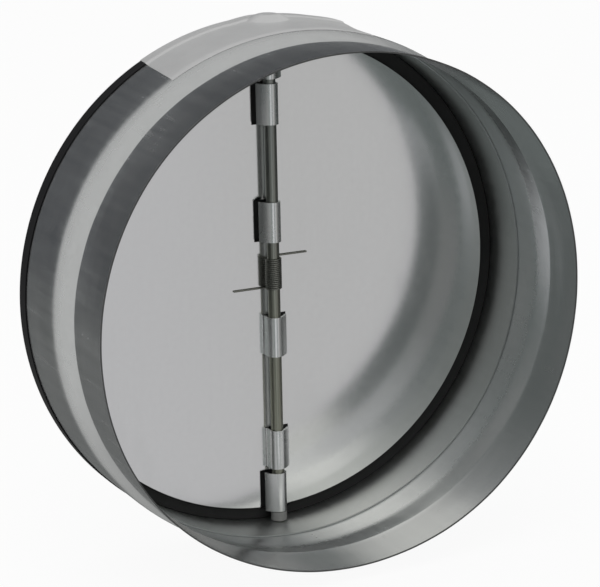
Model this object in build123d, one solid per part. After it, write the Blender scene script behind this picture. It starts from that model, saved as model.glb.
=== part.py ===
from build123d import *
import math
import os

# Duct backdraft damper: a short round sheet-metal duct ring with two sprung half-disc blades on one
# upright hinge rod. Air leaves at the spigot, towards -Y, and pushes the blades open that way.
# The frame's origin is the centre of the spigot's rim; +Y runs upstream along the duct, +Z is up.
# Lengths are millimetres.

# Housing: one rolled and welded sheet ring
housing_sheet = 0.7
spigot_radius = 124.5
spigot_length = 32.0
shoulder_length = 16.0
shoulder_step = 3.5
body_length = 45.4
front_bend_radius = 3.0
rear_bend_radius = 5.0

# Play between sheets that are welded or stuck to each other
lay_on_gap = 0.1

# Stop ring: sleeve inside the body with a turned-in flange behind the blades
stop_sheet = 0.7
stop_sleeve_length = 28.8
stop_bend_radius = 1.5
flange_inset = 1.9
flange_lap = 5.6
flange_notch_clearance = 2.5
flange_notch_margin = 0.5

# Gasket on the flange, and the play between it and a closed blade
gasket_thickness = 1.4
gasket_play = 0.3
gasket_lap = 4.6
gasket_rim_gap = 1.0

# Blades: two equal pressings of aluminium sheet
blade_sheet = 1.0
blade_wall_gap = 6.9
blade_drop = 0.6
seam_gap = 0.8

# Hinge rod, in front of the closed blades
rod_radius = 3.1
rod_standoff = 4.3
rod_end_proud = 1.2
rod_end_chamfer = 0.4
rod_hole_clearance = 0.05

# Hooks: sheet tongues that rise beside the rod, pass over its front and end in a slanted lip
hook_length = 20.2
hook_spacing = 2.3
inner_hook_height = 29.2
end_hook_overhang = 0.9
hook_bend_radius = 1.0
hook_running_clearance = 0.08
lip_slant = 45.0
lip_length = 5.7
slot_side_clearance = 1.0
slot_end_clearance = 0.4

# Flat bar welded to the back of the flange, behind the blades' straight edges
bar_width = 20.0
bar_thickness = 1.2
bar_end_gap = 0.8

# Rubber trim over the upstream edge
trim_outer_leg = 8.1
trim_outer_thickness = 0.5
trim_inner_leg = 2.0
trim_web = 1.1

# Bushes between the end hooks and the wall
bush_radius = 4.7
bush_play = 0.2

# Caps on the rod's ends
cap_radius = 5.0
cap_height = 3.2
cap_dome = 1.2
cap_end_gap = 0.15
cap_trim_clearance = 0.4

# Torsion spring
wire_diameter = 0.9
coil_clearance = 0.15
coil_turns = 16
coil_pitch = 0.975
coil_middle_height = 2.35
spring_leg_length = 20.0

# Label round the top of the body
label_thickness = 0.15
label_left_angle = 29.0
label_right_angle = 19.0
label_shoulder_margin = 1.0
label_rim_margin = 0.4
label_cap_clearance = 1.0

# Radii that follow, from the wall inwards
body_radius = spigot_radius + shoulder_step
body_inner_radius = body_radius - housing_sheet
stop_outer_radius = body_inner_radius - lay_on_gap
stop_inner_radius = stop_outer_radius - stop_sheet
blade_radius = stop_inner_radius - blade_wall_gap
gasket_hole_radius = blade_radius - gasket_lap
flange_hole_radius = blade_radius - flange_lap
trim_radius = body_radius + lay_on_gap + trim_outer_thickness

# Depths that follow, from the upstream edge forwards
body_start = spigot_length + shoulder_length
housing_end = body_start + body_length
trim_end = housing_end + lay_on_gap + trim_web
flange_back = housing_end - flange_inset
flange_front = flange_back - stop_sheet
stop_front_depth = flange_back - stop_sleeve_length
gasket_front = flange_front - gasket_thickness
blade_back = gasket_front - gasket_play
blade_face_depth = blade_back - blade_sheet
rod_depth = blade_face_depth - rod_standoff

# Hook sizes and heights that follow
hook_inner_radius = rod_radius + hook_running_clearance
hook_middle_radius = hook_inner_radius + blade_sheet / 2
hook_outer_radius = hook_inner_radius + blade_sheet
hooks_end = blade_radius + end_hook_overhang
end_hook_height = hooks_end - hook_length / 2
middle_hook_height = end_hook_height - hook_length - hook_spacing
lip_reach = (hook_outer_radius + lip_length) * math.cos(math.radians(lip_slant))
lip_swing = math.hypot(hook_middle_radius, lip_length) + blade_sheet / 2
slot_reach = lip_reach + slot_side_clearance
slot_length = hook_length + 2 * slot_end_clearance
bush_start = hooks_end + blade_drop + bush_play
notch_half_width = lip_swing + flange_notch_clearance
notch_reach = bush_start + flange_notch_margin
coil_middle_radius = rod_radius + coil_clearance + wire_diameter / 2


def turned(outline):
    """Turn a closed outline, given as (radius, depth) points or edges, about the duct's axis."""
    return revolve(outline, Axis.Y, 360)


def sheet_section(points, bends, thickness):
    """Section of a bent sheet: the outside line offset inwards by its thickness.

    points are (radius, depth) along the outside, bends the outside bend radii at the inner points.
    """
    outside = FilletPolyline(*points, radius=bends)
    return outside, make_face(
        Wire(outside.edges() + inward_copy(outside, thickness))
    )


def inward_copy(line, thickness):
    """Edges that close an outside line with a parallel line towards the duct's axis."""
    inner = line.offset_2d(thickness, side=Side.LEFT, closed=False)
    if inner.center().X > line.center().X:
        inner = line.offset_2d(thickness, side=Side.RIGHT, closed=False)
    first = Line(line @ 0, nearest_end(inner, line @ 0))
    last = Line(line @ 1, nearest_end(inner, line @ 1))
    return inner.edges() + first.edges() + last.edges()


def nearest_end(line, point):
    """The end of a line that lies nearest to a point."""
    return min(line @ 0, line @ 1, key=lambda end: (end - point).length)


def rod_bore(radius, low, high):
    """Upright cylinder on the rod's axis, used for holes and round pieces."""
    lift = Pos(0, rod_depth, low)
    return lift * Cylinder(radius, high - low, align=(Align.CENTER, Align.CENTER, Align.MIN))


def rod_holes():
    """The two holes for the rod, through every wall above and below."""
    reach = body_radius + cap_height
    return rod_bore(rod_radius + rod_hole_clearance, -reach, reach)


def make_housing():
    outline = [
        (spigot_radius, 0),
        (spigot_radius, spigot_length),
        (body_radius, body_start),
        (body_radius, housing_end),
    ]
    section = sheet_section(outline, [front_bend_radius, rear_bend_radius], housing_sheet)[1]
    return turned(section) - rod_holes()


def swing_notch(depth_from, depth_to):
    """Room at the top and the bottom for the end hooks' lips to swing behind the blades."""
    middle = (depth_from + depth_to) / 2
    return Pos(0, middle, 0) * Box(2 * notch_half_width, depth_to - depth_from, 2 * notch_reach)


def make_stop_ring():
    outline = [
        (stop_outer_radius, stop_front_depth),
        (stop_outer_radius, flange_back),
        (flange_hole_radius, flange_back),
    ]
    section = sheet_section(outline, [stop_bend_radius], stop_sheet)[1]
    return turned(section) - rod_holes() - swing_notch(gasket_front, flange_back + stop_sheet)


def make_blade_gasket():
    outer = stop_inner_radius - gasket_rim_gap
    ring = Pos(0, gasket_front, 0) * Rot(-90, 0, 0) * disc_ring(outer, gasket_hole_radius, gasket_thickness)
    return ring - swing_notch(blade_back, flange_front + stop_sheet)


def disc_ring(outer, inner, thickness):
    """Flat ring that rises along Z from its base."""
    base = (Align.CENTER, Align.CENTER, Align.MIN)
    return Cylinder(outer, thickness, align=base) - Cylinder(inner, thickness, align=base)


def make_centre_bar():
    bar_front = flange_front + stop_sheet + lay_on_gap
    middle = Pos(0, bar_front + bar_thickness / 2, 0)
    strip = middle * Box(bar_width, bar_thickness, 2 * body_radius)
    disc = middle * Rot(90, 0, 0) * Cylinder(stop_inner_radius - bar_end_gap, 2 * bar_thickness)
    return strip & disc


def make_edge_trim():
    wall_out = body_radius + lay_on_gap
    wall_in = body_inner_radius - lay_on_gap
    inner_face = wall_in - trim_outer_thickness
    section = Polyline(
        (trim_radius, trim_end - trim_outer_leg),
        (trim_radius, trim_end),
        (inner_face, trim_end),
        (inner_face, housing_end - trim_inner_leg),
        (wall_in, housing_end - trim_inner_leg),
        (wall_in, housing_end + lay_on_gap),
        (wall_out, housing_end + lay_on_gap),
        (wall_out, trim_end - trim_outer_leg),
        close=True,
    )
    reach = trim_radius + lay_on_gap
    return turned(make_face(section)) - rod_bore(cap_radius + cap_trim_clearance, -reach, reach)


def hook_path():
    """Middle line of the right blade's hook, seen from above, from the sheet to the lip's end."""
    sheet_middle = blade_face_depth + blade_sheet / 2
    wall = hook_middle_radius
    slant = math.radians(lip_slant)
    start = (wall + hook_bend_radius, sheet_middle)
    bend = RadiusArc(start, (wall, sheet_middle - hook_bend_radius), -hook_bend_radius)
    rise = Line(bend @ 1, (wall, rod_depth))
    over = CenterArc((0, rod_depth), wall, 0, lip_slant - 180)
    lip_step = (-lip_length * math.cos(slant), lip_length * math.sin(slant))
    lip = Line(over @ 1, (over @ 1) + Vector(*lip_step))
    return bend + rise + over + lip


def hook(height):
    """One hook of the right blade, with the patch of sheet that it is bent from."""
    strip = trace(hook_path(), line_width=blade_sheet)
    tongue = Pos(0, 0, height - hook_length / 2) * extrude(strip, hook_length, dir=(0, 0, 1))
    root = hook_middle_radius + hook_bend_radius
    patch_width = slot_reach - root
    patch = Pos(root + patch_width / 2, blade_face_depth + blade_sheet / 2, height) * Box(
        patch_width, blade_sheet, hook_length
    )
    return tongue + patch


def sheet_window(reach, height, length):
    """Cutter for the straight edge of the right blade, from the seam out to reach."""
    return Pos(reach / 2, blade_face_depth + blade_sheet / 2, height) * Box(
        reach, 2 * blade_sheet, length
    )


def make_right_blade():
    half_disc = Pos(0, blade_face_depth, 0) * Rot(-90, 0, 0) * Cylinder(
        blade_radius, blade_sheet, align=(Align.CENTER, Align.CENTER, Align.MIN)
    )
    half_disc -= Pos(-blade_radius + seam_gap / 2, blade_face_depth, 0) * Box(
        2 * blade_radius, 4 * blade_sheet, 2 * blade_radius
    )
    own_heights = [middle_hook_height, inner_hook_height, -end_hook_height]
    blade = half_disc
    for height in own_heights:
        blade -= sheet_window(hook_middle_radius + hook_bend_radius, height, slot_length)
        blade -= sheet_window(slot_reach, -height, slot_length)
    for height in own_heights:
        blade += hook(height)
    return blade


def rested(blade):
    """A blade as it rests, its lowest hook down on the lower bush."""
    return Pos(0, 0, -blade_drop) * blade


def make_hinge_rod():
    reach = body_radius + rod_end_proud
    rod = rod_bore(rod_radius, -reach, reach)
    ends = rod.edges().filter_by(GeomType.CIRCLE)
    return chamfer(ends, rod_end_chamfer)


def make_top_bush():
    seat = math.sqrt(stop_inner_radius**2 - bush_radius**2) - lay_on_gap
    bush = rod_bore(bush_radius, bush_start, seat)
    return bush - rod_holes()


def make_top_end_cap():
    blank = rod_bore(cap_radius, body_radius + lay_on_gap, body_radius + cap_height)
    blank = fillet(blank.edges().group_by(Axis.Z)[-1], cap_dome)
    bore_end = body_radius + rod_end_proud + cap_end_gap
    return blank - rod_bore(rod_radius + rod_hole_clearance, body_radius, bore_end)


def below(piece):
    """The same piece at the rod's lower end."""
    return Rot(0, 180, 0) * piece


def make_torsion_spring():
    coil_height = coil_turns * coil_pitch
    low = coil_middle_height - coil_height / 2
    high = low + coil_height
    wire_radius = wire_diameter / 2
    helix = Pos(0, rod_depth, low) * Rot(0, 0, 90) * Helix(coil_pitch, coil_height, coil_middle_radius)
    wire_end = Plane(helix @ 0, z_dir=helix % 0)
    coil = sweep(wire_end * Circle(wire_radius), path=helix, is_frenet=True)
    back = rod_depth + coil_middle_radius
    legs = []
    for side, height in ((-1, low), (1, high)):
        leg = Pos(0, back, height) * Rot(0, 90 * side, 0) * Cylinder(
            wire_radius, spring_leg_length, align=(Align.CENTER, Align.CENTER, Align.MIN)
        )
        legs.append(leg)
    return coil + legs[0] + legs[1]


def make_label():
    foot = body_radius + lay_on_gap
    step = trim_end - trim_outer_leg - lay_on_gap
    rise = trim_radius + lay_on_gap
    start = body_start + label_shoulder_margin
    end = trim_end - label_rim_margin
    outline = Polyline(
        (foot, start),
        (foot, step - label_thickness),
        (rise, step - label_thickness),
        (rise, end),
        (rise + label_thickness, end),
        (rise + label_thickness, step - 2 * label_thickness),
        (foot + label_thickness, step - 2 * label_thickness),
        (foot + label_thickness, start),
        close=True,
    )
    arc = label_left_angle + label_right_angle
    strip = revolve(make_face(outline), Axis.Y, arc)
    middle = strip.center()
    turn_to_middle = math.degrees(math.atan2(middle.X, middle.Z))
    lean = (label_right_angle - label_left_angle) / 2
    placed = Rot(0, lean - turn_to_middle, 0) * strip
    return placed - rod_bore(cap_radius + label_cap_clearance, 0, 2 * body_radius)


def main():
    os.makedirs("parts", exist_ok=True)
    blade = make_right_blade()
    top_bush = make_top_bush()
    top_end_cap = make_top_end_cap()
    pieces = {
        "housing": make_housing(),
        "stop_ring": make_stop_ring(),
        "blade_gasket": make_blade_gasket(),
        "centre_bar": make_centre_bar(),
        "edge_trim": make_edge_trim(),
        "right_blade": rested(blade),
        "left_blade": rested(Rot(0, 180, 0) * blade),
        "hinge_rod": make_hinge_rod(),
        "torsion_spring": make_torsion_spring(),
        "top_bush": top_bush,
        "bottom_bush": below(top_bush),
        "top_end_cap": top_end_cap,
        "bottom_end_cap": below(top_end_cap),
        "label": make_label(),
    }
    for name, piece in pieces.items():
        export_step(piece, f"parts/{name}.step")
        print(name, round(piece.volume, 1))


main()
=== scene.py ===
# %% [markdown]
# # Dressing a duct backdraft damper
#
# The object is a short round duct ring of galvanised sheet with two half-disc blades of bright
# aluminium on one upright rod. Air pushes the blades open towards the near end, and a small spring
# closes them again. The CAD part already has every piece at its true size, so this lesson is about
# how the metal looks: how it is rolled, bent, worn, and what it mirrors.
#
# The imported part comes in first, and its box is kept.

import math

import bpy
from mathutils import Matrix, Vector, noise


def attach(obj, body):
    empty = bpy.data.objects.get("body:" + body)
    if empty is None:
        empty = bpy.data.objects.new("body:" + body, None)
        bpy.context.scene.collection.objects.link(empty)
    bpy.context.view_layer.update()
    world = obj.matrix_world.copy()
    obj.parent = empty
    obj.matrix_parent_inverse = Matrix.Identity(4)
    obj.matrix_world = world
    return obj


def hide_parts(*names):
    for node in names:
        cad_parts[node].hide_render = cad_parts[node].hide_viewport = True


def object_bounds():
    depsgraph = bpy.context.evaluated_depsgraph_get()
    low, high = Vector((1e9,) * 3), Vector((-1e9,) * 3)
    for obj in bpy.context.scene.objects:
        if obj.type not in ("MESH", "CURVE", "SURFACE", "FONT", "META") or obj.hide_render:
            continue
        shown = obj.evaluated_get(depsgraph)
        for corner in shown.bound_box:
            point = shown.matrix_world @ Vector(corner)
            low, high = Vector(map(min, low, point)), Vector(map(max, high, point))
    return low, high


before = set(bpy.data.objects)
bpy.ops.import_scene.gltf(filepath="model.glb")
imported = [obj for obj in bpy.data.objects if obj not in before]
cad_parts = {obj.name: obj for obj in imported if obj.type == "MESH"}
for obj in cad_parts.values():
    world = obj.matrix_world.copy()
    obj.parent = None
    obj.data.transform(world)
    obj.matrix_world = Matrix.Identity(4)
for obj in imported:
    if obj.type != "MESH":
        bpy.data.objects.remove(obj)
cad_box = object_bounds()
MM = 0.001
print("nodes:", sorted(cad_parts))
print("box:", [[round(v, 4) for v in corner] for corner in cad_box])

# %% [markdown]
# ## The camera
#
# The photograph was taken from the left, a little above, with a long lens: the near rim and the far
# rim look almost the same size. The place and the direction were worked out from the round rims,
# which are circles of known size seen as ellipses. The three directions below are the picture's own
# right, down and forward, so the slight tilt of the camera comes along too.

# %% Camera
camera_place = Vector((-0.5017, -1.0011, 0.3090))
picture_right = Vector((0.90065, -0.43411, -0.01965))
picture_down = Vector((-0.12854, -0.22296, -0.96632))
forward = Vector((0.4151, 0.8728, -0.2566))

camera_data = bpy.data.cameras.new("camera")
camera_data.sensor_width = 36.0
camera_data.lens = 150.0
camera_data.clip_start = 0.05
camera_data.clip_end = 50.0
camera = bpy.data.objects.new("camera", camera_data)
bpy.context.scene.collection.objects.link(camera)
turn = Matrix((picture_right, -picture_down, -forward)).transposed()
camera.matrix_world = Matrix.Translation(camera_place) @ turn.to_4x4()
bpy.context.scene.camera = camera
bpy.context.scene.view_settings.view_transform = "Standard"
print("camera at", tuple(round(v, 3) for v in camera_place))

# %% [markdown]
# ## Arithmetic with sockets
#
# A finish is a tree of small nodes. Wiring them one by one hides the idea, so `Field` wraps one
# output socket and lets it stand in a Python expression: `1 - mask * 0.5` adds the Math nodes by
# itself. Everything that isn't arithmetic comes from one method, `Tree.node`, which takes the
# node's type, its settings and what goes into its sockets.

# %% Field and Tree
class Field:
    """An output socket that can be used like a number."""

    def __init__(self, tree, socket):
        self.tree = tree
        self.socket = socket

    def _math(self, operation, first, second):
        return self.tree.node("ShaderNodeMath", {"operation": operation}, {0: first, 1: second})

    def __add__(self, other):
        return self._math("ADD", self, other)

    def __radd__(self, other):
        return self._math("ADD", other, self)

    def __sub__(self, other):
        return self._math("SUBTRACT", self, other)

    def __rsub__(self, other):
        return self._math("SUBTRACT", other, self)

    def __mul__(self, other):
        return self._math("MULTIPLY", self, other)

    def __rmul__(self, other):
        return self._math("MULTIPLY", other, self)

    def between(self, low, high):
        """0 below low, 1 above high, smooth in between."""
        settings = {"interpolation_type": "SMOOTHSTEP"}
        return self.tree.node("ShaderNodeMapRange", settings, {0: self, 1: low, 2: high})


class Tree:
    """The node tree of a material or of the world."""

    def __init__(self, owner):
        owner.use_nodes = True
        self.owner = owner
        self.links = owner.node_tree.links
        self.nodes = owner.node_tree.nodes

    def node(self, kind, settings=None, values=None, output=0):
        made = self.nodes.new(kind)
        for name, value in (settings or {}).items():
            setattr(made, name, value)
        for name, value in (values or {}).items():
            self.put(made, name, value)
        return Field(self, made.outputs[output])

    def put(self, node, name, value):
        """Set one input of a node to a value, or link it to a field."""
        if isinstance(value, Field):
            self.links.new(value.socket, node.inputs[name])
        else:
            node.inputs[name].default_value = value

    def colours(self, factor, first, second):
        """A mix of two colours."""
        return self.node(
            "ShaderNodeMix", {"data_type": "RGBA"}, {0: factor, 6: first, 7: second}, output=2
        )

    def place(self, scale=(1, 1, 1), shift=(0, 0, 0)):
        """The object's own coordinates in metres, stretched by scale."""
        here = self.node("ShaderNodeTexCoord", output="Object")
        values = {"Vector": here, "Scale": scale, "Location": shift}
        return self.node("ShaderNodeMapping", None, values)

    def axis(self, vector, number):
        """One part of a vector: 0, 1 or 2 for X, Y or Z."""
        return self.node("ShaderNodeSeparateXYZ", None, {0: vector}, output=number)

    def clouds(self, scale, detail=3.0, rough=0.55, shift=(0, 0, 0)):
        """Noise round 0.5; scale is in cells per metre, one number for each direction."""
        values = {"Vector": self.place(scale, shift), "Scale": 1.0}
        values.update({"Detail": detail, "Roughness": rough})
        return self.node("ShaderNodeTexNoise", {"noise_dimensions": "3D"}, values)

    def relief(self, height, strength, distance):
        """A normal that follows a height."""
        values = {"Height": height, "Strength": strength, "Distance": distance}
        return self.node("ShaderNodeBump", None, values)


def finish(name, **constants):
    """A new material with its shader's plain values set. Returns the tree and the shader."""
    tree = Tree(bpy.data.materials.new(name))
    shader = tree.nodes["Principled BSDF"]
    for socket, value in constants.items():
        shader.inputs[socket.replace("_", " ")].default_value = value
    return tree, shader


print("operators ready")

# %% [markdown]
# ## The studio
#
# The photograph has a pure white ground, but the metal shows another room: dark straight behind
# the ring, brighter round that, dim below and to the left of the camera, and bright above. The
# bends tell where each part of the room is, because the cone between the two cylinders mirrors a
# spot 22 degrees away from what the cylinders mirror, and the flat blades mirror the space right of
# the camera.
#
# So the world is painted by direction, with plain levels mixed by soft masks, and only the camera
# sees it white. The floor is there for the camera and for the object's faint shadow, and the metal
# doesn't mirror it.

# %% Floor
FLOOR_GAP = 0.4 * MM
FLOOR_REACH = 9.0

floor_height = cad_box[0].z - FLOOR_GAP
floor_mesh = bpy.data.meshes.new("floor")
corners = [(-1, -1), (1, -1), (1, 1), (-1, 1)]
floor_corners = [(x * FLOOR_REACH, y * FLOOR_REACH, floor_height) for x, y in corners]
floor_mesh.from_pydata(floor_corners, [], [(0, 1, 2, 3)])
floor = bpy.data.objects.new("floor", floor_mesh)
bpy.context.scene.collection.objects.link(floor)
floor_tree, floor_shader = finish(
    "floor_finish", Base_Color=(0.8, 0.8, 0.8, 1), Roughness=0.9, Specular_IOR_Level=0.0
)
seen = floor_tree.node("ShaderNodeLightPath", output="Is Camera Ray")
white = floor_tree.node("ShaderNodeEmission", None, {"Color": (1, 1, 1, 1), "Strength": 1.0})
lit = Field(floor_tree, floor_shader.outputs[0])
ground = floor_tree.node("ShaderNodeMixShader", None, {0: seen * 0.93, 1: lit, 2: white})
floor_tree.put(floor_tree.nodes["Material Output"], "Surface", ground)
floor_mesh.materials.append(floor_tree.owner)
floor.visible_glossy = False
print("floor at", round(floor_height, 4))

# %% The painted room
world = bpy.data.worlds.new("studio")
bpy.context.scene.world = world
sky = Tree(world)
sky.nodes.remove(sky.nodes["Background"])
toward = sky.node("ShaderNodeTexCoord", output="Generated")
to_right = sky.axis(toward, 0)
to_back = sky.axis(toward, 1)
to_top = sky.axis(toward, 2)


def level(red, green, blue):
    """A plain even light of the world."""
    return sky.node("ShaderNodeBackground", None, {"Color": (red, green, blue, 1), "Strength": 1.0})


def paint(under, over, mask):
    """Lay one light over another where the mask is 1."""
    return sky.node("ShaderNodeMixShader", None, {0: mask, 1: under, 2: over})


def spot(azimuth, elevation, inner, outer):
    """A round mask. Azimuth 0 is the spigot's side and 90 the right; all angles are in degrees."""
    turn, rise = math.radians(azimuth), math.radians(elevation)
    centre = (math.sin(turn) * math.cos(rise), -math.cos(turn) * math.cos(rise), math.sin(rise))
    settings = {"operation": "DOT_PRODUCT"}
    near = sky.node("ShaderNodeVectorMath", settings, {0: toward, 1: centre}, output="Value")
    return near.between(math.cos(math.radians(outer)), math.cos(math.radians(inner)))


# In front of the spigot: dim, a little lighter at the left and where the camera stands.
room = level(0.225, 0.25, 0.245)
room = paint(room, level(0.34, 0.345, 0.34), (0 - to_right).between(0.5, 0.75))
room = paint(room, level(0.42, 0.425, 0.42), spot(-6, 4, 4, 18))

# To the right, below the ceiling: two light walls that the blades mirror, then a dark one.
low = 1 - to_top.between(0.05, 0.3)
room = paint(room, level(0.57, 0.57, 0.585), to_right.between(0.22, 0.30) * low)
room = paint(room, level(0.49, 0.49, 0.475), to_right.between(0.36, 0.48) * low)
room = paint(room, level(0.2, 0.205, 0.2), to_right.between(0.54, 0.64) * low)

# A bright table below the camera, the ceiling, and a lamp on it.
room = paint(room, level(0.95, 0.96, 0.98), spot(-10, -16, 2, 13))
room = paint(room, level(0.95, 0.95, 0.95), to_top.between(0.2, 1.0))
room = paint(room, level(1.4, 1.4, 1.34), spot(9, 35, 2, 21))

# Behind the ring: light, duller at the floor, and dark straight behind it.
behind = to_back.between(-0.2, 0.25)
room = paint(room, level(0.78, 0.78, 0.765), behind)
room = paint(room, level(0.60, 0.60, 0.59), behind * (0 - to_top).between(0.45, 0.7))
straight_behind = to_back.between(0.78, 0.85)
room = paint(room, level(0.15, 0.155, 0.153), straight_behind)
room = paint(room, level(0.09, 0.095, 0.102), straight_behind * to_top.between(-0.3, 0.0))

camera_only = sky.node("ShaderNodeLightPath", output="Is Camera Ray")
room = paint(room, level(1.0, 1.0, 1.0), camera_only)
sky.put(sky.nodes["World Output"], "Surface", room)
print("room painted with", len(sky.nodes), "nodes")

# %% Lamps
def softbox(name, place, aim, size, power):
    """A square area lamp that points from its place to a spot."""
    lamp = bpy.data.lights.new(name, "AREA")
    lamp.shape = "SQUARE"
    lamp.size = size
    lamp.energy = power
    holder = bpy.data.objects.new(name, lamp)
    bpy.context.scene.collection.objects.link(holder)
    holder.location = place
    aim_line = Vector(aim) - Vector(place)
    holder.rotation_mode = "QUATERNION"
    holder.rotation_quaternion = aim_line.to_track_quat("-Z", "Y")
    return holder


ring_middle = (0, 0.05, 0)
top_box = softbox("top_box", (-0.7, -1.2, 2.2), ring_middle, 1.4, 16)
top_box.visible_glossy = False

# %% [markdown]
# ## Galvanised sheet
#
# Zinc freezes on the steel in faint cells, and the sheet is rolled, so it also has fine lines along
# its length: in a rolled ring they run round it. It is a metal, so its colour is the tint of its
# mirror image, and the cells and lines matter most in the roughness, which breaks that image up.
# The spigot is darker inside, near its rim, and its cut edge is grey steel.

# %% Galvanised finish
CUT_STEEL = (0.16, 0.16, 0.16, 1)


def tinted(tint, share):
    """A colour with each part of the tint times the share."""
    return (*(part * share for part in tint), 1)


def galvanised(name, tint, dull, inner_dull):
    """Rolled galvanised sheet for pieces turned about the duct's axis; inside it can be duller."""
    tree, shader = finish(name, Metallic=1.0)
    here = tree.place()
    depth = tree.axis(here, 1)
    flat = tree.node("ShaderNodeVectorMath", {"operation": "MULTIPLY"}, {0: here, 1: (1, 0, 1)})
    radius = tree.node("ShaderNodeVectorMath", {"operation": "LENGTH"}, {0: flat}, output="Value")
    lines = tree.clouds((30, 900, 30), 4.0, 0.6)
    blotches = tree.clouds((22, 30, 22), 3.0, 0.55, (3, 1, 2))
    grain = tree.clouds((900, 1400, 900), 2.0, 0.5)
    cells = tree.node(
        "ShaderNodeTexVoronoi",
        {"feature": "F1"},
        {"Vector": tree.place((260, 260, 260)), "Scale": 1.0},
        output="Color",
    )
    cell = tree.node("ShaderNodeSeparateColor", None, {0: cells})
    scuffs = tree.clouds((90, 14, 90), 5.0, 0.7, (5, 0, 1)).between(0.62, 0.78)
    wiped = tree.clouds((260, 14, 260), 3.0, 0.6, (8, 0, 2))

    shade = 0.5 + (lines - 0.5) * 0.25 + (blotches - 0.5) * 0.3
    shade = shade + (cell - 0.5) * 0.12 + (wiped - 0.5) * 0.5
    sheet = tree.colours(shade, tinted(tint, 0.86), tinted(tint, 1.12))
    # Darker on the spigot's inside, near the rim.
    inner_rim_darkening = (1 - depth.between(0.022, 0.030)) * (1 - radius.between(0.1239, 0.1245))
    sheet = tree.colours(inner_rim_darkening * 0.9, sheet, tinted(tint, 0.74))
    cut_edge = 1 - depth.between(0.0001, 0.0005)
    tree.put(shader, "Base Color", tree.colours(cut_edge, sheet, CUT_STEEL))

    inside = depth.between(0.040, 0.050) * (1 - radius.between(0.1273, 0.1278))
    rough = dull + inside * (inner_dull - dull) + cut_edge * 0.3
    rough = rough + (blotches - 0.5) * 0.08 + (lines - 0.5) * 0.06
    rough = rough + (wiped - 0.5) * 0.12 + scuffs * 0.06
    tree.put(shader, "Roughness", rough)

    relief = lines * 0.3 + grain * 0.08 + blotches * 1.6 + wiped * 0.5
    tree.put(shader, "Normal", tree.relief(relief, 0.3, 0.1 * MM))
    return tree.owner


housing_finish = galvanised("galvanised_sheet", (0.56, 0.57, 0.575), 0.24, 0.3)
sleeve_finish = galvanised("galvanised_sleeve", (0.56, 0.575, 0.57), 0.4, 0.4)
print("galvanised:", housing_finish.name, sleeve_finish.name)

# %% [markdown]
# ## Blade aluminium
#
# The blades are mill-bright: almost mirrors, with the rolling direction along the rod. The sheet is
# thin and not quite flat, so the mirror image wavers: long shallow noise in the bump does that. The
# right blade is also bowed about the rod and the left one dished along it, each by a height in
# metres that grows with the square of the distance. The hooks are bent and handled, so they are
# duller than the sheet.

# %% Blade finish
def blade_metal(name, bow, dish):
    """Bright aluminium sheet, a little bowed about the rod and dished along it."""
    tree, shader = finish(name, Metallic=1.0)
    here = tree.place()
    side, depth, height = (tree.axis(here, number) for number in range(3))
    sheet = depth.between(0.0868, 0.0878)
    drawn = tree.clouds((1500, 1500, 14), 3.0, 0.6)
    haze = tree.clouds((9, 9, 7), 3.0, 0.5, (1, 2, 5))
    peel = tree.clouds((340, 340, 340), 3.0, 0.6, (0, 3, 8))
    smears = tree.clouds((40, 40, 16), 5.0, 0.65, (7, 0, 3)).between(0.5, 0.75)
    specks = tree.clouds((420, 420, 420), 1.0, 0.4, (2, 9, 4)).between(0.74, 0.8)

    shade = 0.5 + (haze - 0.5) * 0.4 + (drawn - 0.5) * 0.15 + (peel - 0.5) * 0.4 - specks * 0.2
    metal = tree.colours(shade, (0.73, 0.73, 0.725, 1), (0.86, 0.86, 0.855, 1))
    tree.put(shader, "Base Color", metal)
    satin = 0.12 + (1 - sheet) * 0.14
    rough = satin + (haze - 0.5) * 0.04 + (peel - 0.5) * 0.05 + smears * 0.04
    tree.put(shader, "Roughness", rough)

    lean = (side * side * bow + height * height * dish) * sheet
    waves = (haze * 2.0 + drawn * 0.02 + peel * 0.05 + specks * 0.05) * 0.1 * MM
    tree.put(shader, "Normal", tree.relief(lean + waves, 1.0, 1.0))
    return tree.owner


right_finish = blade_metal("blade_aluminium_right", 0.2, 0.0)
left_finish = blade_metal("blade_aluminium_left", 0.0, 0.6)
print("blades:", right_finish.name, left_finish.name)

# %% [markdown]
# ## Rubber, steel and plastic
#
# The small pieces share simple recipes: a base colour with a little cloudiness, and a grain in the
# bump. Rubber is black but never fully black, because dust and a dull skin lift it.

# %% Small finishes
def grained(name, dark, light, rough, grain, depth, metal=0.0, shine=0.5):
    """Clouds in the colour, and a grain of so many cells per metre and so many metres deep."""
    tree, shader = finish(name, Metallic=metal, Specular_IOR_Level=shine)
    clouds = tree.clouds((60, 60, 60), 4.0, 0.6)
    fine = tree.clouds((grain, grain, grain), 3.0, 0.6, (4, 4, 4))
    tree.put(shader, "Base Color", tree.colours(clouds, (*dark, 1), (*light, 1)))
    tree.put(shader, "Roughness", rough + (fine - 0.5) * 0.2 + (clouds - 0.5) * 0.1)
    tree.put(shader, "Normal", tree.relief(fine, 0.4, depth))
    return tree.owner


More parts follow.
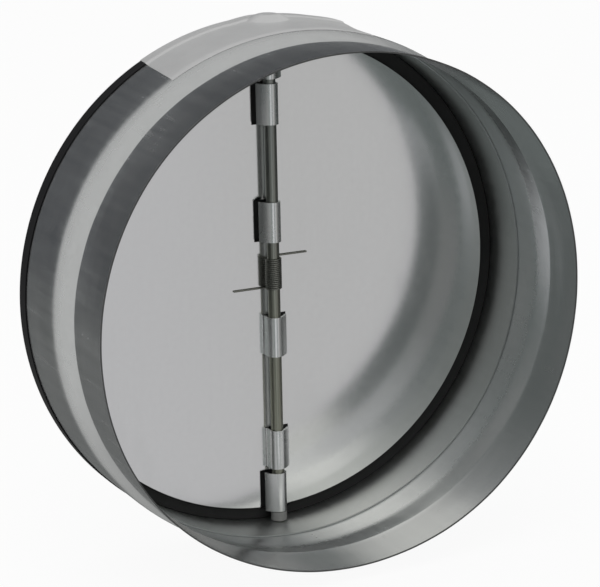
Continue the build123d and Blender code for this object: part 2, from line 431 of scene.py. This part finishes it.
trim_finish = grained(
    "trim_rubber", (0.006, 0.006, 0.007), (0.012, 0.012, 0.013), 0.5, 900, 0.1 * MM, shine=0.12
)
gasket_finish = grained(
    "gasket_foam", (0.008, 0.008, 0.008), (0.02, 0.02, 0.02), 0.85, 1600, 0.2 * MM
)
# Near-black painted shade for the bar that shows through the blades' slots.
slot_shade_finish = grained("bar_painted_shade", (0.01, 0.01, 0.01), (0.022, 0.022, 0.022), 0.6, 1200, 0.1 * MM)
spring_finish = grained(
    "spring_wire", (0.21, 0.21, 0.19), (0.32, 0.32, 0.29), 0.4, 2000, 0.03 * MM, metal=1.0
)
bush_finish = grained(
    "bush_plastic", (0.24, 0.24, 0.235), (0.33, 0.33, 0.32), 0.35, 700, 0.04 * MM
)
cap_finish = grained("cap_plastic", (0.46, 0.46, 0.43), (0.60, 0.60, 0.56), 0.45, 700, 0.04 * MM)
label_finish = grained(
    "label_film", (0.50, 0.50, 0.505), (0.58, 0.58, 0.585), 0.4, 500, 0.06 * MM, metal=0.25
)


def drawn_steel(name, upper, lower):
    """Drawn rod: dark in front, a little warmer lower down, with a painted highlight along the
    back.
    """
    tree, shader = finish(name, Metallic=1.0)
    here = tree.place()
    back_highlight = tree.axis(here, 1).between(0.0842, 0.0856)
    lines = tree.clouds((1400, 1400, 30), 2.0, 0.5)
    stains = tree.clouds((50, 50, 40), 4.0, 0.6, (6, 1, 1))
    height_tone = tree.colours(tree.axis(here, 2).between(-0.06, 0.09), (*lower, 1), (*upper, 1))
    worn = tree.colours((lines - 0.5) * 0.5 + stains * 0.5, height_tone, tinted(lower, 1.5))
    # The light colour along the rod's back is a painted highlight.
    tree.put(shader, "Base Color", tree.colours(back_highlight, worn, (0.88, 0.88, 0.87, 1)))
    tree.put(shader, "Roughness", 0.3 + (stains - 0.5) * 0.1 + (lines - 0.5) * 0.06)
    tree.put(shader, "Normal", tree.relief(lines, 0.2, 0.02 * MM))
    return tree.owner


rod_finish = drawn_steel("rod_steel", (0.24, 0.25, 0.255), (0.29, 0.29, 0.24))
print("small finishes ready")

# %% [markdown]
# ## Turned pieces
#
# A rolled ring could be a cylinder primitive, but its section is what makes it real: a thin sheet,
# a crisp bend into the shoulder, a soft one out of it. So each ring is an outline of radius and
# depth, rounded at its bends and turned about the duct's axis. The sizes are the CAD's, apart from
# the soft bend, which is measured from the picture.

# %% Sizes of the rings in millimetres
SPIGOT = 124.5
BODY = 128.0
SHEET = 0.7
PLAY = 0.1
FRONT_BEND = 32.0
FRONT_BEND_RADIUS = 3.0
REAR_BEND = 51.0
REAR_BEND_RADIUS = 40.0
HOUSING_END = 93.4
WHOLE_END = 94.6

SLEEVE = BODY - SHEET - PLAY
SLEEVE_START = 62.7
SLEEVE_BEND_RADIUS = 1.5
FLANGE_BACK = 91.5
FLANGE_HOLE = 114.0

GASKET_FRONT = 89.4
GASKET_BACK = 90.7
GASKET_HOLE = 115.0
GASKET_RIM = 126.3

TRIM = 128.55
TRIM_START = 86.5
RING_STEPS = 360
print("radii:", SPIGOT, BODY, round(SLEEVE, 2), TRIM)

# %% [markdown]
# Thin sheet is never perfectly round, so `roll_error` moves the wall by a fraction of a millimetre,
# and every ring uses the same error. In the photograph the near rim is a little out of round, the
# shoulder leans (it starts 26 mm from the rim on the right and 32 mm on the left), and the sleeve's
# edge bulges towards the camera at the lower right. Those are measured from the picture too.

# %% Roll error
# Waves round the near rim: how many, and their cosine and sine parts in millimetres
RIM_WAVES = ((1, -0.14, -0.07), (2, 0.05, 0.59), (3, 0.03, 0.33), (4, -0.50, -0.14))

# The shoulder's shift along the duct: cosine, sine and plain part in millimetres
SHOULDER_LEAN = (1.46, -3.13, -3.2)


def smooth(value, low, high):
    """0 below low, 1 above high, smooth in between."""
    part = min(1.0, max(0.0, (value - low) / (high - low)))
    return part * part * (3 - 2 * part)


def bell(value, middle, width):
    """1 at the middle, fading to 0 on both sides."""
    return math.exp(-(((value - middle) / width) ** 2))


def roll_error(angle, depth):
    """How far the rolled wall is off, outwards and along the duct, in millimetres."""
    around = math.degrees(angle)
    spot = Vector((math.sin(angle), math.cos(angle), depth / 90)) * 2.2
    waver = 0.15 * noise.noise(spot) + 0.06 * noise.noise(spot * 4)
    out = waver * (1 - smooth(depth, 70, 86))
    for order, cosine, sine in RIM_WAVES:
        wave = cosine * math.cos(order * angle) + sine * math.sin(order * angle)
        out += wave * bell(depth, 0, 26)
    out += 0.35 * bell(around, 85, 38) * bell(depth, FRONT_BEND, 9)

    spot = Vector((math.sin(angle), math.cos(angle), 7.0)) * 4.5
    waver = 0.5 * noise.noise(spot) + 0.25 * noise.noise(spot * 2.7)
    along = waver * bell(depth, FRONT_BEND, 5)
    cosine, sine, plain = SHOULDER_LEAN
    lean = cosine * math.cos(angle) + sine * math.sin(angle) + plain
    along += lean * smooth(depth, 6, 28) * (1 - smooth(depth, 52, 62))
    sleeve_edge = smooth(depth, 60, SLEEVE_START - 0.2) * (1 - smooth(depth, 63, 75))
    along -= 2.4 * bell(around, 130, 26) * sleeve_edge
    return out, along


right_bend = roll_error(math.pi / 2, FRONT_BEND)
print("front bend at the right, out and along:", [round(part, 2) for part in right_bend])

# %% Outlines and turning
def rounded(corners, radii, reach=4.0):
    """Points along a line of corners, with an arc at each inner one and none past reach apart."""
    points = [Vector(corners[0])]
    for before, corner, after, radius in zip(corners, corners[1:], corners[2:], radii):
        corner = Vector(corner)
        back = (Vector(before) - corner).normalized()
        on = (Vector(after) - corner).normalized()
        half = back.angle(on) / 2
        tangent = radius / math.tan(half)
        centre = corner + (back + on).normalized() * (radius / math.sin(half))
        start = corner + back * tangent - centre
        end = corner + on * tangent - centre
        steps = max(3, round(math.degrees(start.angle(end)) / 3))
        for k in range(steps + 1):
            points.append(centre + start.lerp(end, k / steps).normalized() * radius)
    points.append(Vector(corners[-1]))

    filled = [points[0]]
    for first, point in zip(points, points[1:]):
        parts = max(1, math.ceil((point - first).length / reach))
        for k in range(1, parts + 1):
            filled.append(first.lerp(point, k / parts))
    return filled


def sheet_outline(corners, radii, thickness):
    """Closed section of a bent sheet: the outside line, and back along the inside."""
    outside = rounded(corners, radii)
    inside = []
    for k, point in enumerate(outside):
        along = outside[min(k + 1, len(outside) - 1)] - outside[max(k - 1, 0)]
        inward = Vector((-along.y, along.x)).normalized()
        # Towards the axis, or on a flange towards the spigot
        if inward.x > 0 or (abs(inward.x) < 1e-6 and inward.y > 0):
            inward = -inward
        inside.append(point + inward * thickness)
    return outside + inside[::-1]


def piece(name, points, faces, material, body, node, sharp=35.0):
    """A mesh object in millimetres that rides on a body and stands for a CAD node."""
    mesh = bpy.data.meshes.new(name)
    mesh.from_pydata([Vector(p) * MM for p in points], [], faces)
    mesh.validate()
    made = bpy.data.objects.new(name, mesh)
    bpy.context.scene.collection.objects.link(made)
    mesh.polygons.foreach_set("use_smooth", [True] * len(mesh.polygons))
    mesh.set_sharp_from_angle(angle=math.radians(sharp))
    mesh.materials.append(material)
    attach(made, body)
    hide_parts(node)
    return made


def turned(name, outline, material, node):
    """Turn a closed outline of (radius, depth) about the duct's axis."""
    points = []
    for k in range(RING_STEPS):
        angle = 2 * math.pi * k / RING_STEPS
        for radius, depth in outline:
            out, along = roll_error(angle, depth)
            reach = radius + out
            points.append((reach * math.sin(angle), depth + along, reach * math.cos(angle)))
    count = len(outline)
    faces = []
    for k in range(RING_STEPS):
        here = k * count
        there = ((k + 1) % RING_STEPS) * count
        for i in range(count):
            j = (i + 1) % count
            faces.append((here + i, here + j, there + j, there + i))
    return piece(name, points, faces, material, "ring", node)


print("outlines can be turned in", RING_STEPS, "steps")

# %% [markdown]
# ## Housing, sleeve, gasket and trim
#
# From outside to inside: the housing is the rolled ring itself, the sleeve is the second sheet,
# whose front edge shows as a thin line inside, the gasket is what the blades close on, and the trim
# is the black strip pressed over the far edge.

# %% Housing
housing_line = [(SPIGOT, 0), (SPIGOT, FRONT_BEND), (BODY, REAR_BEND), (BODY, HOUSING_END)]
housing_outline = sheet_outline(housing_line, [FRONT_BEND_RADIUS, REAR_BEND_RADIUS], SHEET)
housing = turned("housing_shell", housing_outline, housing_finish, "housing")
print("housing:", len(housing.data.polygons), "faces")

# %% Sleeve and gasket
NOTCH_SIDE = 9.3
NOTCH_REACH = 121.9


def notched(made):
    """Open the hole at the top and the bottom, where the hooks' lips swing through."""
    for vertex in made.data.vertices:
        out = Vector((vertex.co.x, 0.0, vertex.co.z))
        if abs(out.x) < NOTCH_SIDE * MM and out.length < NOTCH_REACH * MM:
            vertex.co += out * (NOTCH_REACH * MM / out.length - 1)


sleeve_line = [(SLEEVE, SLEEVE_START), (SLEEVE, FLANGE_BACK), (FLANGE_HOLE, FLANGE_BACK)]
sleeve_outline = sheet_outline(sleeve_line, [SLEEVE_BEND_RADIUS], SHEET)
sleeve = turned("stop_sleeve", sleeve_outline, sleeve_finish, "stop_ring")
notched(sleeve)

gasket_outline = [
    (GASKET_HOLE + 0.4, GASKET_FRONT),
    (GASKET_RIM - 0.3, GASKET_FRONT),
    (GASKET_RIM, GASKET_FRONT + 0.3),
    (GASKET_RIM, GASKET_BACK),
    (GASKET_HOLE, GASKET_BACK),
    (GASKET_HOLE, GASKET_FRONT + 0.4),
]
gasket = turned("blade_seal", gasket_outline, gasket_finish, "blade_gasket")
notched(gasket)
print("inside:", sleeve.name, gasket.name)

# %% Trim
trim_outline = [
    (BODY + PLAY, TRIM_START),
    (TRIM - 0.15, TRIM_START),
    (TRIM, TRIM_START + 0.15),
    (TRIM, WHOLE_END - 0.5),
    (TRIM - 0.15, WHOLE_END - 0.15),
    (BODY + PLAY, WHOLE_END),
    (BODY - 0.9, WHOLE_END),
    (BODY - 1.2, WHOLE_END - 0.15),
    (BODY - 1.3, WHOLE_END - 0.5),
    (BODY - 1.3, FLANGE_BACK - PLAY),
    (SLEEVE, FLANGE_BACK - PLAY),
    (SLEEVE, HOUSING_END + PLAY),
    (BODY + PLAY, HOUSING_END + PLAY),
]
trim = turned("rim_trim", trim_outline, trim_finish, "edge_trim")
print("trim:", trim.name)

# %% [markdown]
# ## Blades
#
# Each blade is one pressing: a half disc with three tongues that are bent up beside the rod, over
# its front and back towards the sheet, and three slots that leave room for the other blade's
# tongues. The middle surface is drawn once and a Solidify modifier gives it the sheet's thickness;
# a tiny bevel then catches the light at the cut edges, and weighted normals keep the sheet flat
# beside it. The left blade is the same pressing turned half a turn about the duct's axis. Both rest
# a little low, on the bush under the lowest hook.

# %% Sizes of the blades in millimetres
# Depths along the duct
ROD_DEPTH = 83.8
SHEET_MIDDLE = 88.6

# The disc, the gap between the blades, and the slots for the other blade's tongues
DISC = 119.6
SEAM = 0.4
SLOT = 8.0
RELIEF = 0.4
DROP = 0.6
BLADE_SHEET = 1.0
CUT_BEVEL = 0.12

# Heights of the tongues' middles, and half of their length
END_HOOK = 110.4
MIDDLE_HOOK = 87.9
INNER_HOOK = 29.2
HALF_HOOK = 10.1

# A tongue's bend beside the rod, its wrap round the rod in degrees, and its lip
HOOK = 3.68
HOOK_BEND = 1.0
ROOT = HOOK + HOOK_BEND
WRAP = 127
LIP_STEP = 0.76
LIP_CURL = 2

# The strip round the disc, drawn as narrow faces
RIM_STRIP = 4.0
RIM_STEPS = 180
print("tongues start", round(ROOT, 2), "mm from the rod's axis")

# %% Blade pressing
def hook_line():
    """Middle line of a hook from the sheet to the lip's end, as (x, depth) points."""
    line = []
    for k in range(1, 5):
        bend = math.radians(90 * k / 4)
        away, ahead = HOOK_BEND * math.sin(bend), HOOK_BEND * (1 - math.cos(bend))
        line.append((ROOT - away, SHEET_MIDDLE - ahead))
    line.append((HOOK, ROD_DEPTH))
    for k in range(1, 19):
        over = math.radians(WRAP * k / 18)
        line.append((HOOK * math.cos(over), ROD_DEPTH - HOOK * math.sin(over)))
    x, depth = line[-1]
    for k in range(8):
        heading = math.radians(WRAP + 1 + LIP_CURL * k)
        x -= LIP_STEP * math.sin(heading)
        depth -= LIP_STEP * math.cos(heading)
        line.append((x, depth))
    return line


def blade_edge():
    """Corners of the right blade's straight side from top to bottom, as (x, z) points."""
    window = HALF_HOOK + RELIEF
    edge = [(SLOT, END_HOOK - window), (SEAM, END_HOOK - window)]
    for height in (MIDDLE_HOOK, INNER_HOOK):
        edge.append((SEAM, height + window))
        for z in (height + window, height + HALF_HOOK, height - HALF_HOOK, height - window):
            edge.append((ROOT, z))
        edge.append((SEAM, height - window))
    for height in (-INNER_HOOK, -MIDDLE_HOOK):
        upper, lower = height + window, height - window
        edge += [(SEAM, upper), (SLOT, upper), (SLOT, lower), (SEAM, lower)]
    edge.append((SEAM, window - END_HOOK))
    for z in (window - END_HOOK, HALF_HOOK - END_HOOK, -HALF_HOOK - END_HOOK):
        edge.append((ROOT, z))
    return edge


def round_side(radius):
    """Points of a half circle from the blade's bottom end to its top end."""
    reach = math.acos(SLOT / radius)
    angles = [reach * (2 * k / RIM_STEPS - 1) for k in range(RIM_STEPS + 1)]
    return [(radius * math.cos(angle), radius * math.sin(angle)) for angle in angles]


def pressing():
    """Points and faces of the right blade's middle surface."""
    straight = blade_edge()
    within, rim = round_side(DISC - RIM_STRIP), round_side(DISC)
    outline = [within[-1]] + straight + [rim[0]] + within[:-1]
    points = [(x, SHEET_MIDDLE, z) for x, z in outline + rim[1:]]
    count = len(outline)
    faces = [tuple(range(count))]
    first = len(straight) + 2
    outer = [first - 1] + list(range(count, count + RIM_STEPS))
    for k in range(RIM_STEPS):
        faces.append((first + k, outer[k], outer[k + 1], (first + k + 1) % count))
    for height in (MIDDLE_HOOK, INNER_HOOK, -END_HOOK):
        upper = outline.index((ROOT, height + HALF_HOOK))
        lower = outline.index((ROOT, height - HALF_HOOK))
        for x, depth in hook_line():
            points.append((x, depth, height + HALF_HOOK))
            points.append((x, depth, height - HALF_HOOK))
            faces.append((upper, lower, len(points) - 1, len(points) - 2))
            upper, lower = len(points) - 2, len(points) - 1
    return points, faces


def blade(name, turn, material, body, node):
    """A blade in its place; turn is 1 for the right one and -1 for the one turned half round."""
    points, faces = pressing()
    points = [(x * turn, depth, z * turn - DROP) for x, depth, z in points]
    made = piece(name, points, faces, material, body, node, 30.0)
    sheet = made.modifiers.new("sheet", "SOLIDIFY")
    sheet.thickness = BLADE_SHEET * MM
    sheet.offset = 0.0
    sheet.use_even_offset = True
    edges = made.modifiers.new("cut_edges", "BEVEL")
    edges.width = CUT_BEVEL * MM
    edges.segments = 1
    edges.limit_method = "ANGLE"
    edges.angle_limit = math.radians(50)
    made.modifiers.new("flat_faces", "WEIGHTED_NORMAL")
    return made


right_blade = blade("right_half_disc", 1, right_finish, "right_flap", "right_blade")
left_blade = blade("left_half_disc", -1, left_finish, "left_flap", "left_blade")
print("blades:", right_blade.name, left_blade.name)

# %% [markdown]
# ## Rod, caps and bushes
#
# Small round pieces are turned about the rod. The bushes keep the end hooks off the wall, and the
# caps close the rod's ends outside.

# %% Rod and its round pieces
ROD = 3.1
ROD_END = 129.2
ROD_CHAMFER = 0.4
BORE = 3.3
BUSH = 4.1
BUSH_START = 121.6
BUSH_END = 126.0


def upright(name, outline, material, node, steps=48):
    """Turn an outline of (radius, height) about the rod."""
    points = []
    for k in range(steps):
        angle = 2 * math.pi * k / steps
        for radius, height in outline:
            points.append((radius * math.cos(angle), ROD_DEPTH + radius * math.sin(angle), height))
    count = len(outline)
    faces = []
    for k in range(steps):
        here = k * count
        there = ((k + 1) % steps) * count
        for i in range(count - 1):
            faces.append((here + i, here + i + 1, there + i + 1, there + i))
    faces.append(tuple(k * count for k in range(steps))[::-1])
    faces.append(tuple(k * count + count - 1 for k in range(steps)))
    made = piece(name, points, faces, material, "ring", node)
    return made


rod_outline = [(ROD - ROD_CHAMFER, -ROD_END)]
for height in (ROD_CHAMFER - ROD_END, -60, 0, 60, ROD_END - ROD_CHAMFER):
    rod_outline.append((ROD, height))
rod_outline.append((ROD - ROD_CHAMFER, ROD_END))
rod = upright("hinge_pin", rod_outline, rod_finish, "hinge_rod")

bush_outline = [
    (BORE, BUSH_START),
    (BUSH - 0.2, BUSH_START),
    (BUSH, BUSH_START + 0.2),
    (BUSH, BUSH_END),
    (BORE, BUSH_END),
]
cap_outline = [(5.0, 127.2), (5.0, 129.7), (4.65, 130.4), (3.8, 130.75), (1.0, 130.85)]
for side, sign in (("top", 1), ("bottom", -1)):
    bush = [(radius, height * sign) for radius, height in bush_outline]
    cap = [(radius, height * sign) for radius, height in cap_outline]
    upright(side + "_spacer", bush, bush_finish, side + "_bush")
    upright(side + "_push_cap", cap, cap_finish, side + "_end_cap")
print("rod:", rod.name)

# %% [markdown]
# ## Spring
#
# A close-wound wire sits on the rod, and one leg lies on each blade. The coil stays on the rod, so
# it rides on the ring; each leg swings with its blade, so the legs are pieces of their own.

# %% Spring coil and legs
WIRE = 0.45
COIL_RADIUS = 3.7
COIL_LOW = -5.45
COIL_HIGH = 10.15
COIL_TURNS = 16
TURN_STEPS = 24
LEG = 20


def wire(name, points, body):
    """A round wire along points in millimetres."""
    curve = bpy.data.curves.new(name, "CURVE")
    curve.dimensions = "3D"
    curve.bevel_depth = WIRE * MM
    curve.bevel_resolution = 3
    curve.use_fill_caps = True
    line = curve.splines.new("POLY")
    line.points.add(len(points) - 1)
    for target, point in zip(line.points, points):
        target.co = (*(Vector(point) * MM), 1)
    made = bpy.data.objects.new(name, curve)
    bpy.context.scene.collection.objects.link(made)
    curve.materials.append(spring_finish)
    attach(made, body)
    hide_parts("torsion_spring")
    return made


coil = []
for k in range(COIL_TURNS * TURN_STEPS + 1):
    angle = math.pi / 2 + 2 * math.pi * k / TURN_STEPS
    height = COIL_LOW + (COIL_HIGH - COIL_LOW) * k / (COIL_TURNS * TURN_STEPS)
    coil.append((COIL_RADIUS * math.cos(angle), ROD_DEPTH + COIL_RADIUS * math.sin(angle), height))
wire("spring_coil", coil, "ring")
for side, sign, height in (("right", 1, COIL_HIGH), ("left", -1, COIL_LOW)):
    leg = [(x * sign, ROD_DEPTH + COIL_RADIUS, height) for x in (0, LEG / 2, LEG)]
    wire("spring_leg_" + side, leg, side + "_flap")
print("spring: coil of", COIL_TURNS, "turns")

# %% [markdown]
# ## Label
#
# The label is a blank silver film stuck round the top. It steps up over the trim, and there, round
# the rod's end, it stands off the metal a little. A grid of angle and depth is lifted by a small
# height function, so the film stays one smooth sheet. Its near edge lies on the shoulder's soft
# bend, and it was stuck on a little askew.

# %% Label
# Angles round the duct in degrees from the top, and depths in millimetres
LABEL_LEFT = -29
LABEL_RIGHT = 19
LABEL_NEAR = 49.0
LABEL_FAR = 94.2
LABEL_SKEW = 1.6
LABEL_STEPS = (144, 72)
FILM = 0.15
FILM_EDGE = 0.04
ARC_END = 54.6


def label_lift(angle, depth):
    """How far the film's underside stands outside the body, in millimetres."""
    over_trim = 0.6 * smooth(depth, 84.0, 87.2)
    loose = smooth(angle, -8, -2) * smooth(depth, 66, 88) * 0.8
    curl = smooth(angle, 11, LABEL_RIGHT) * smooth(depth, 55, 92) * 0.8
    lift = 0.03 + 0.04 * smooth(depth, LABEL_NEAR, 54) + over_trim + loose + curl
    off_centre = math.hypot(BODY * math.radians(angle), depth - ROD_DEPTH)
    over_cap = 2.96 * (1 - smooth(off_centre, 4.0, 13.0))
    return max(lift, over_cap)


def make_label():
    """Points and faces of the film: its underside, its top and the faces between their rims."""
    width, length = LABEL_RIGHT - LABEL_LEFT, LABEL_FAR - LABEL_NEAR
    across, down = LABEL_STEPS
    angles = [LABEL_LEFT + width * k / across for k in range(across + 1)]
    depths = [LABEL_NEAR + length * k / down for k in range(down + 1)]
    points = []
    for side in (0.0, 1.0):
        for straight in angles:
            for depth in depths:
                angle = straight - LABEL_SKEW * (LABEL_FAR - depth) / length
                turn = math.radians(angle)
                out, along = roll_error(turn, depth)
                bend = max(0.0, ARC_END - depth) ** 2 / (2 * REAR_BEND_RADIUS)
                thickness = FILM_EDGE + (FILM - FILM_EDGE) * smooth(depth, LABEL_NEAR, 54)
                radius = BODY - bend + out + label_lift(angle, depth) + thickness * side
                points.append((radius * math.sin(turn), depth + along, radius * math.cos(turn)))
    rows, columns = len(angles), len(depths)
    top = rows * columns
    faces = []
    for i in range(rows - 1):
        for j in range(columns - 1):
            a, b = i * columns + j, (i + 1) * columns + j
            faces.append((a, b, b + 1, a + 1))
            faces.append((top + a, top + a + 1, top + b + 1, top + b))
    rim = [i * columns for i in range(rows)]
    rim += [(rows - 1) * columns + j for j in range(1, columns)]
    rim += [i * columns + columns - 1 for i in range(rows - 2, -1, -1)]
    rim += [j for j in range(columns - 2, 0, -1)]
    for a, b in zip(rim, rim[1:] + rim[:1]):
        faces.append((b, a, top + a, top + b))
    return points, faces


label_points, label_faces = make_label()
label = piece("blank_label", label_points, label_faces, label_finish, "ring", "label")
print("label:", len(label_faces), "faces")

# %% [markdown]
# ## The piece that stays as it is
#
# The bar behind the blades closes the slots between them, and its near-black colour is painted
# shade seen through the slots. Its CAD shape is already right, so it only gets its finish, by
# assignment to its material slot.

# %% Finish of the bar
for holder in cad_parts["centre_bar"].material_slots:
    holder.material = slot_shade_finish
print("bar dressed with", slot_shade_finish.name)
